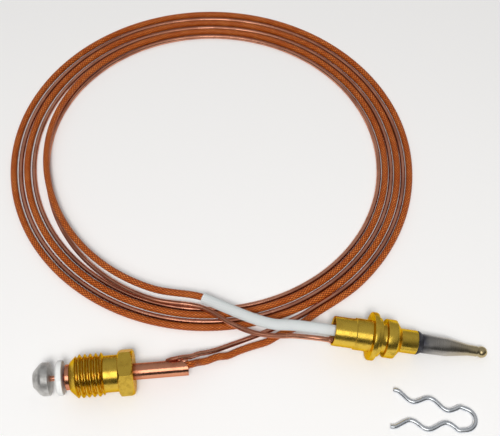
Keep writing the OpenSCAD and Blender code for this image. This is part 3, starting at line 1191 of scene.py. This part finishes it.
@dataclass
class ProbeHead:
    """The turned brass head, the hot sheath in its neck, and what is inside them."""

    axis: Axis
    barrel_r: float = 2.8
    step_r: float = 3.0
    flange_r: float = 4.55
    shoulder_r: float = 3.7
    groove_r: float = 2.75
    collar_r: float = 3.65
    neck_r: float = 2.25
    bore_r: float = 2.3
    spigot_r: float = 1.5
    sheath_r: float = 1.825
    sheath_front_r: float = 1.75
    taper_end_r: float = 1.0
    bead_r: float = 1.1
    step_z: float = 4.0
    flange_z: float = 7.05
    shoulder_z: float = 8.05
    groove_z: float = 8.85
    collar_z: float = 9.85
    cone_z: float = 11.75
    neck_z: float = 12.65
    neck_end_z: float = 16.05
    sheath_z: float = 16.95
    taper_z: float = 22.15
    taper_end_z: float = 27.9
    bore_z: float = 8.0

    def place(self, name: str, bm: bmesh.types.BMesh, sharp_deg: float = 40.0) -> bpy.types.Object:
        """Put a mesh in mm on the head's axis."""
        bmesh.ops.transform(bm, matrix=self.axis.matrix(), verts=bm.verts)
        return make_piece(name, bm, sharp_deg)

    def build_body(self) -> None:
        """Turn the brass body with its flange, clip groove and hollow rear."""
        profile = [
            (self.bore_r, self.bore_z), (self.bore_r, 0), (self.barrel_r, 0),
            (self.barrel_r, self.step_z), (self.step_r, self.step_z + 0.1),
            (self.step_r, self.flange_z), (self.flange_r, self.flange_z),
            (self.flange_r, self.shoulder_z), (self.shoulder_r, self.shoulder_z),
            (self.shoulder_r, self.groove_z), (self.groove_r, self.groove_z),
            (self.groove_r, self.collar_z), (self.collar_r, self.collar_z),
            (self.collar_r, self.cone_z), (self.neck_r + 0.2, self.neck_z),
            (self.neck_r, self.neck_z + 0.15), (self.neck_r, self.neck_end_z),
            (self.spigot_r, self.neck_end_z), (self.spigot_r, self.bore_z),
        ]
        mesh = turned_mesh(rounded(profile, 0.16, closed=True), 128, closed=True)
        piece = self.place("probe_head_body", mesh, 50)
        dress(piece, BRASS.build(self.axis))
        hand_over(piece, Body.MAIN, "brass", "probe_body")

    def taper_r(self, t: float) -> float:
        """Radius over the taper, a cone that eases into the thin end.

        Args:
            t: Share of the taper's length.

        Returns:
            The radius, in mm.
        """
        share = 1.3 * t if t < 0.7 else 1 - (1 - t) ** 2
        return self.sheath_front_r + (self.taper_end_r - self.sheath_front_r) * share

    def build_sheath(self) -> None:
        """Draw the steel sheath with its easing taper."""
        profile = [(self.spigot_r, self.neck_end_z), (self.spigot_r, self.sheath_z)]
        profile += [(self.sheath_r - 0.2, self.sheath_z), (self.sheath_r - 0.05, self.sheath_z + 0.15)]
        profile += [(self.sheath_r, self.sheath_z + 0.6)]
        steps = 28
        for i in range(steps + 1):
            t = i / steps
            profile.append((self.taper_r(t), self.taper_z + (self.taper_end_z - self.taper_z) * t))
        profile += [(0.6, self.taper_end_z), (0.6, self.taper_z + 3)]
        profile += [(1.1, self.taper_z), (1.1, self.neck_end_z)]
        piece = self.place("hot_sheath_shell", turned_mesh(profile, 96, closed=True), 30)
        dress(piece, HeatedSteel("tempered_sheath", self.sheath_z, self.taper_end_z + 2).build(self.axis))
        hand_over(piece, Body.MAIN, "steel_tip", "hot_sheath")

    def build_bead(self) -> None:
        """Form the welded ball, a little uneven, on the thin end."""
        centre = self.taper_end_z + self.bead_r
        profile = [(0, self.taper_end_z - 0.3), (self.taper_end_r - 0.02, self.taper_end_z - 0.3)]
        profile += [(self.taper_end_r + 0.02, self.taper_end_z)]
        for i in range(17):
            angle = math.radians(-38 + 128 * i / 16)
            profile.append((self.bead_r * math.cos(angle), centre + self.bead_r * math.sin(angle)))

        def uneven(angle: float, radius: float, z: float) -> float:
            """Weld metal never sets quite round."""
            return 0.03 * noise.noise(Vector((math.cos(angle), math.sin(angle), z * 1.3)))

        piece = self.place("tip_weld_ball", turned_mesh(profile, 64, relief=uneven), 50)
        dress(piece, HeatedSteel("tempered_ball", self.taper_z - 2, centre + 0.8).build(self.axis))
        hand_over(piece, Body.MAIN, "tip_weld", "tip_bead")

    def build_braze(self) -> None:
        """Run the dark braze round the neck, uneven where it flowed."""
        profile = [
            (self.spigot_r, self.neck_end_z), (self.neck_r - 0.05, self.neck_end_z),
            (self.neck_r - 0.02, self.neck_end_z + 0.25), (self.sheath_r + 0.1, self.sheath_z - 0.1),
            (self.sheath_r - 0.1, self.sheath_z + 0.12), (self.spigot_r, self.sheath_z + 0.12),
        ]

        def flowed(angle: float, radius: float, z: float) -> float:
            """Swell the outside of the ring."""
            lump = noise.noise(Vector((math.cos(angle) * 1.5, math.sin(angle) * 1.5, z)))
            return 0.07 * lump if radius > self.spigot_r + 0.1 else 0.0

        mesh = turned_mesh(resampled(profile, 0.15), 96, relief=flowed, closed=True)
        piece = self.place("neck_braze_ring", mesh, 60)
        dress(piece, BRAZE.build())
        hand_over(piece, Body.MAIN, "braze", "neck_braze")

    def build_wire_braze(self, side: float, up: float) -> None:
        """Drop the copper braze that holds the bare lead in the rim.

        Args:
            side: How far to the side the lead sits, in mm.
            up: How far up it sits, in mm.
        """
        matrix = self.axis.matrix()
        meshes = [
            lump_mesh(Vector((-up, side, -0.2)), Vector((0.62, 0.62, 0.55)), matrix, 1.0, 0.25),
            lump_mesh(Vector((-up * 0.6, side * 1.05, 0.1)), Vector((0.45, 0.5, 0.4)), matrix, 4.0, 0.3),
        ]
        piece = make_piece("bare_lead_braze", joined(meshes), 180)
        dress(piece, SOLDER.build())
        hand_over(piece, Body.MAIN, "copper", "bare_lead_solder")

    def build(self, leads: Leads) -> None:
        """Build the head and dress what stays of its CAD nodes.

        Args:
            leads: The leads, for the place of the bare one.
        """
        self.build_body()
        self.build_sheath()
        self.build_bead()
        self.build_braze()
        self.build_wire_braze(leads.wire_side, leads.wire_up)
        dress_node("element_rod", CONSTANTAN.build())
        dress_node("element_insulator", CERAMIC.build())
        dress_node("head_splice", TIN.build())
        dress_node("rear_potting", POTTING.build())
        dress_node("head_core", COPPER_WIRE.build())


# --------------------------------------------------------------------------------------
# Contact end
# --------------------------------------------------------------------------------------


@dataclass
class ContactEnd:
    """The copper tube, its seat ring, the insulated conductor, the washer and the button."""

    axis: Axis
    nose_r: float = 1.5
    button_r: float = 3.1
    cone_z: float = 1.45
    button_z: float = 3.0
    washer_z: float = 4.3
    washer_r: float = 3.25
    washer_t: float = 1.15
    washer_bore_r: float = 0.76
    seat_z: float = 5.85
    seat_r: float = 2.35
    seat_len: float = 1.8
    tube_r: float = 1.5
    tube_bore_r: float = 1.0
    tube_end_z: float = 28.4
    lip_z: float = 27.0
    cut_turn_deg: float = 122.0

    def place(self, name: str, bm: bmesh.types.BMesh, sharp_deg: float = 40.0) -> bpy.types.Object:
        """Put a mesh in mm on the contact's axis."""
        bmesh.ops.transform(bm, matrix=self.axis.matrix(), verts=bm.verts)
        return make_piece(name, bm, sharp_deg)

    def build_button(self) -> None:
        """Cast the tinned contact with its flat nose and rounded rim."""
        profile = [
            (0, 0), (self.nose_r, 0), (self.button_r - 0.25, self.cone_z - 0.2),
            (self.button_r, self.cone_z + 0.25), (self.button_r, self.button_z),
            (0.5, self.button_z), (0.5, self.button_z - 0.4), (0, self.button_z - 0.4),
        ]

        def cast(angle: float, radius: float, z: float) -> float:
            """Give the cast skin its slight unevenness.

            Args:
                angle: Angle about the axis.
                radius: Radius, in mm.
                z: Station, in mm.

            Returns:
                The change of radius, in mm.
            """
            spot = Vector((radius * math.cos(angle), radius * math.sin(angle), z)) * 0.8
            return 0.03 * noise.noise(spot) + 0.01 * noise.noise(spot * 4)

        mesh = turned_mesh(resampled(rounded(profile, 0.12), 0.2), 96, cast)
        piece = self.place("contact_button_cap", mesh, 50)
        dress(piece, TIN.build())
        hand_over(piece, Body.MAIN, "tin", "contact_button")

    def build_washer(self) -> None:
        """Press the white washer, chamfered on its front."""
        back = self.washer_z + self.washer_t
        profile = [
            (self.washer_bore_r, self.washer_z), (self.washer_r - 0.35, self.washer_z),
            (self.washer_r, self.washer_z + 0.3), (self.washer_r, back - 0.12),
            (self.washer_r - 0.12, back), (self.washer_bore_r, back),
        ]

        def pressed(angle: float, radius: float, z: float) -> float:
            """Slightly uneven pressed edge."""
            return 0.02 * noise.noise(Vector((math.cos(angle) * 3, math.sin(angle) * 3, z)))

        outline = rounded(profile, 0.08, closed=True)
        mesh = turned_mesh(resampled(outline + outline[:1], 0.3)[:-1], 96, pressed, closed=True)
        piece = self.place("insulating_washer_disc", mesh, 50)
        dress(piece, WHITE_BOARD.build())
        hand_over(piece, Body.WASHER, "white_washer", "insulating_washer")

    def build_seat(self) -> None:
        """Turn the copper seat ring that the nut pushes on."""
        profile = [
            (self.tube_r, self.seat_z), (self.seat_r - 0.1, self.seat_z),
            (self.seat_r, self.seat_z + 0.12), (self.seat_r, self.seat_z + 0.8),
            (self.tube_r + 0.1, self.seat_z + self.seat_len), (self.tube_r, self.seat_z + self.seat_len),
        ]
        mesh = turned_mesh(rounded(profile, 0.08, closed=True), 96, closed=True)
        piece = self.place("copper_seat_ring", mesh, 50)
        dress(piece, COPPER_TUBE.build())
        hand_over(piece, Body.MAIN, "copper", "seat_ring")

    def build_tube(self) -> None:
        """Draw the copper tube, cut open obliquely where the braided lead goes in."""
        profile = [
            (self.tube_bore_r, self.seat_z), (self.tube_r, self.seat_z),
            (self.tube_r, self.lip_z - 1), (self.tube_r, self.tube_end_z),
            (self.tube_bore_r, self.tube_end_z), (self.tube_bore_r, self.lip_z - 1),
        ]
        outline = resampled(profile + [profile[0]], 0.25)[:-1]
        bm = turned_mesh(outline, 96, closed=True)
        start = self.lip_z - 1
        cut = math.radians(self.cut_turn_deg)
        for vert in bm.verts:
            if vert.co.z <= start:
                continue
            angle = math.atan2(vert.co.y, vert.co.x)
            open_share = max(0.0, math.cos(angle - cut)) ** 2.5
            end = self.tube_end_z - (self.tube_end_z - self.lip_z) * open_share
            end += 0.12 * noise.noise(Vector((math.cos(angle) * 2, math.sin(angle) * 2, 5)))
            share = (vert.co.z - start) / (self.tube_end_z - start)
            vert.co.z = start + share * (end - start)
        piece = self.place("copper_tube", bm, 40)
        dress(piece, COPPER_TUBE.build())
        hand_over(piece, Body.MAIN, "copper", "contact_tube")

    def build_braze(self, side: float, up: float) -> None:
        """Flow the braze between the bare lead, the tube and the braided lead.

        Args:
            side: How far to the side the bare lead sits, in mm.
            up: How far up it sits, in mm.
        """
        matrix = self.axis.matrix()
        meshes = [
            lump_mesh(Vector((-up * 0.74, side * 0.74, 25.4)), Vector((0.3, 0.62, 1.2)), matrix, 2.0, 0.15),
            lump_mesh(Vector((-up * 0.78, side * 0.78, 26.9)), Vector((0.3, 0.5, 0.6)), matrix, 5.0, 0.15),
            lump_mesh(Vector((-0.75, 1.0, 27.7)), Vector((0.4, 0.4, 0.75)), matrix, 9.0, 0.2),
        ]
        piece = make_piece("tube_braze_drops", joined(meshes), 180)
        dress(piece, SOLDER.build())
        hand_over(piece, Body.MAIN, "copper", "tube_braze")

    def build(self, leads: Leads) -> None:
        """Build the contact end and dress what stays of its CAD nodes.

        Args:
            leads: The leads, for the place of the bare one.
        """
        self.build_button()
        self.build_washer()
        self.build_seat()
        self.build_tube()
        self.build_braze(leads.braze_side, leads.braze_up)
        dress_node("centre_conductor", COPPER_WIRE.build())
        dress_node("conductor_insulation", RED_ENAMEL.build())
        dress_node("tail_core", COPPER_WIRE.build())
        dress_node("tail_splice", TIN.build())


@dataclass
class GlandNut:
    """The brass nut: a real helical thread, a plain neck and a chamfered hexagon."""

    axis: Axis
    front_z: float = 6.8
    thread_z: float = 8.1
    first_crest_z: float = 7.55
    crest_turn_deg: float = 122.0
    relief_z: float = 13.05
    hex_z: float = 15.65
    end_z: float = 18.45
    crest_r: float = 4.0
    relief_r: float = 3.4
    bore_r: float = 1.58
    mouth_r: float = 2.5
    face_r: float = 2.75
    pitch: float = 1.0
    depth: float = 0.61
    hex_af: float = 8.0

    def thread(self, angle: float, radius: float, z: float) -> float:
        """Cut the helical groove, which fades in on the cone and out at the neck.

        Args:
            angle: Angle about the axis.
            radius: Radius before the cut.
            z: Station.

        Returns:
            The change of radius.
        """
        if radius < self.relief_r - 0.3 or z > self.relief_z:
            return 0.0
        turn = (angle - math.radians(self.crest_turn_deg)) / TURN
        phase = ((z - self.first_crest_z) / self.pitch - turn) % 1.0
        flank = min(phase, 1 - phase) * 2
        profile = min(1.0, max(0.0, (flank - 0.12) / 0.76))
        root = self.crest_r - self.depth * profile
        return min(0.0, root - radius)

    def build_barrel(self) -> bmesh.types.BMesh:
        """Turn the threaded barrel and the neck, with their bore.

        Returns:
            The barrel's mesh.
        """
        outline = [
            (self.face_r, self.front_z), (self.crest_r, self.thread_z), (self.crest_r, self.relief_z - 0.3),
            (self.relief_r, self.relief_z), (self.relief_r, self.hex_z + 0.2),
            (self.bore_r, self.hex_z + 0.2), (self.bore_r, self.front_z + 1.25),
            (self.mouth_r, self.front_z + 0.3), (self.mouth_r, self.front_z),
        ]
        dense = resampled(outline + [outline[0]], 0.07)[:-1]
        return turned_mesh(dense, 144, self.thread, closed=True)

    def build_hexagon(self) -> bmesh.types.BMesh:
        """Cut the hexagon: a six-sided block, bored, with its corners turned off.

        Returns:
            The hexagon's mesh.
        """
        corner = self.hex_af / 2 / math.cos(math.pi / 6)
        corner_cut = 0.45
        profile = [
            (self.bore_r, self.hex_z), (corner - corner_cut - 0.3, self.hex_z),
            (corner, self.hex_z + corner_cut), (corner, self.end_z - corner_cut),
            (corner - corner_cut - 0.3, self.end_z), (self.bore_r, self.end_z),
        ]
        segments = 144
        bm = turned_mesh(resampled(profile + [profile[0]], 0.1)[:-1], segments, closed=True)
        half = self.hex_af / 2
        for vert in bm.verts:
            radius = math.hypot(vert.co.x, vert.co.y)
            angle = math.atan2(vert.co.y, vert.co.x)
            side = (angle + math.pi / 6) % (math.pi / 3) - math.pi / 6
            limit = half / math.cos(side)
            if radius > limit:
                vert.co.x *= limit / radius
                vert.co.y *= limit / radius
        bmesh.ops.remove_doubles(bm, verts=bm.verts[:], dist=1e-3)
        bmesh.ops.recalc_face_normals(bm, faces=bm.faces[:])
        return bm

    def build(self) -> None:
        """Join the nut and hand it over."""
        bm = joined([self.build_barrel(), self.build_hexagon()])
        bmesh.ops.transform(bm, matrix=self.axis.matrix(), verts=bm.verts)
        piece = make_piece("gland_nut_brass", bm, 28)
        dress(piece, NUT_BRASS.build(self.axis))
        hand_over(piece, Body.NUT, "brass", "gland_nut")


# --------------------------------------------------------------------------------------
# Retaining clip
# --------------------------------------------------------------------------------------


@dataclass
class RetainingClip:
    """The loose wire clip: two waved legs joined by a round bow."""

    place_mm: tuple[float, float] = (24.3, -6.2)
    turn_deg: float = -9.6
    wire_d: float = 0.95
    bow_x: float = 12.85
    bow_r: float = 2.05
    leg_gap: float = 2.85
    leg_taper: float = 0.09
    leg_wave: float = 0.75
    leg_wave_len: float = 6.5
    leg_waist_x: float = 3.2
    leg_start_x: float = -0.4
    leg_end_x: float = 12.0
    leg_points: int = 15

    def leg(self) -> list[tuple[float, float]]:
        """Points along one leg, which waves in towards the other twice.

        Returns:
            Places in the clip's own plane, in mm, from the open end to the bow.
        """
        made = []
        for i in range(self.leg_points + 1):
            x = self.leg_start_x + i * (self.leg_end_x - self.leg_start_x) / self.leg_points
            wave = math.cos(TURN * (x - self.leg_waist_x) / self.leg_wave_len)
            made.append((x, self.leg_gap - self.leg_taper * x - self.leg_wave * wave))
        return made

    def route(self) -> list[Vector]:
        """Lay out the wire's middle, both legs and the bow.

        Returns:
            Points in metres, from one open end round to the other.
        """
        half = self.leg()
        for i in range(5):
            angle = math.radians(80 - 20 * i)
            half.append((self.bow_x + self.bow_r * math.cos(angle), self.bow_r * math.sin(angle)))
        outline = half + [(x, -y) for x, y in reversed(half[:-1])]
        turn = math.radians(self.turn_deg)
        return [
            Vector((
                self.place_mm[0] + x * math.cos(turn) - y * math.sin(turn),
                self.place_mm[1] + x * math.sin(turn) + y * math.cos(turn),
                self.wire_d / 2,
            )) * MM
            for x, y in outline
        ]

    def build(self) -> None:
        """Bend the wire, with its ends cut square and lightly deburred."""
        path = smooth_path(self.route(), 0.12 * MM)
        total = path_length(path)
        burr = 0.15 * MM

        def radius(angle: float, s: float) -> float:
            """Round wire with rounded ends."""
            end = min(1.0, min(s, total - s) / burr)
            return self.wire_d / 2 * (0.88 + 0.12 * end) * MM

        piece = make_piece("retaining_clip_wire", swept_mesh(path, 20, radius), 60)
        dress(piece, ZINC.build())
        hand_over(piece, Body.CLIP, "zinc", "retaining_clip")


# --------------------------------------------------------------------------------------
# Camera, floor and light
# --------------------------------------------------------------------------------------


def grey_stops(*stops: tuple[float, float]) -> list[tuple[float, Colour]]:
    """Turn (place, brightness) pairs into a ramp's stops."""
    return [(place, (grey, grey, grey)) for place, grey in stops]


@dataclass
class Studio:
    """Pale floor, soft light and the camera."""

    target_mm: tuple[float, float, float] = (-2.3, 35.5, 0.0)
    distance_mm: float = 185.0
    elevation_deg: float = 58.0
    sensor_mm: float = 36.0
    lens_mm: float = 63.4
    floor_mm: float = 1200.0
    sky_strength: float = 1.0
    box_power: float = 0.9
    key_power: float = 2.1

    def build_camera(self) -> None:
        """Set the camera that the scene is seen from."""
        data = bpy.data.cameras.new("camera")
        data.sensor_width = self.sensor_mm
        data.lens = self.lens_mm
        data.clip_start = 0.01
        camera = bpy.data.objects.new("camera", data)
        tilt = math.radians(self.elevation_deg)
        away = Vector((0, -math.cos(tilt), math.sin(tilt))) * self.distance_mm
        camera.location = (Vector(self.target_mm) + away) * MM
        camera.rotation_euler = (math.radians(90 - self.elevation_deg), 0, 0)
        bpy.context.scene.collection.objects.link(camera)
        bpy.context.scene.camera = camera

    def build_floor(self) -> None:
        """Lay the pale floor."""
        bm = bmesh.new()
        bmesh.ops.create_grid(bm, x_segments=1, y_segments=1, size=self.floor_mm / 2 * MM)
        floor = make_piece("floor", bm)
        shade = Shade("pale_floor")
        dress(floor, shade.finish(Base_Color=(0.93, 0.93, 0.93), Roughness=0.6))

    def add_light(
        self, name: str, place: Colour, size: float, power: float, tint: Colour, mirrored: bool = True
    ) -> None:
        """Add one soft area light aimed at the middle of the object.

        Args:
            name: Light name.
            place: Its place from the target, in mm.
            size: Its side, in mm.
            power: Its power, in watts.
            tint: Its colour.
            mirrored: True where shiny pieces reflect it.
        """
        data = bpy.data.lights.new(name, "AREA")
        data.size = size * MM
        data.energy = power
        data.color = tint
        lamp = bpy.data.objects.new(name, data)
        lamp.location = (Vector(self.target_mm) + Vector(place)) * MM
        aim = -Vector(place)
        lamp.rotation_euler = aim.to_track_quat("-Z", "Y").to_euler()
        lamp.visible_glossy = mirrored
        bpy.context.scene.collection.objects.link(lamp)

    def build_sky(self) -> None:
        """Light the scene from all round, darker in front and near the horizon."""
        world = bpy.data.worlds.new("studio")
        world.use_nodes = True
        bpy.context.scene.world = world
        graph = Graph(world.node_tree)
        direction = graph.node("ShaderNodeTexCoord").outputs["Generated"]
        _, y, z = graph.split(direction)
        front = graph.ramp(z, grey_stops((0.0, 0.06), (0.55, 0.06), (0.70, 0.20), (0.86, 0.40), (1.0, 0.45)))
        back = graph.ramp(z, grey_stops((0.0, 0.26), (0.5, 0.36), (1.0, 0.45)))
        sky = world.node_tree.nodes["Background"]
        graph.feed(sky.inputs["Color"], graph.mix(y.band(-0.2, 0.25), front, back))
        sky.inputs["Strength"].default_value = self.sky_strength

    def build_light(self) -> None:
        """Set the sky, a wide soft box in front and a lamp in line with the camera."""
        self.build_sky()
        self.add_light("soft_box", (-60, -345, 520), 380, self.box_power, (1.0, 0.99, 0.97))
        self.add_light("key", (0, -318, 509), 140, self.key_power, (1.0, 0.98, 0.96), mirrored=False)
        bpy.context.scene.view_settings.view_transform = "Standard"

    def build(self) -> None:
        """Build the camera first, then the floor and the light."""
        self.build_camera()
        self.build_floor()
        self.build_light()


def main() -> None:
    """Build the studio, the leads and then each end of the thermocouple."""
    logging.basicConfig(level=logging.INFO, format="%(name)s: %(message)s")
    head = Axis.from_mount("head_shoulder", 8.45)
    contact = Axis.from_mount("nut_thread", 10.55, reverse=True)
    Studio().build()
    leads = Leads(head, contact)
    leads.build_bare()
    leads.build_braided()
    ProbeHead(head).build(leads)
    ContactEnd(contact).build(leads)
    GlandNut(contact).build()
    RetainingClip().build()


if __name__ == "__main__":
    main()
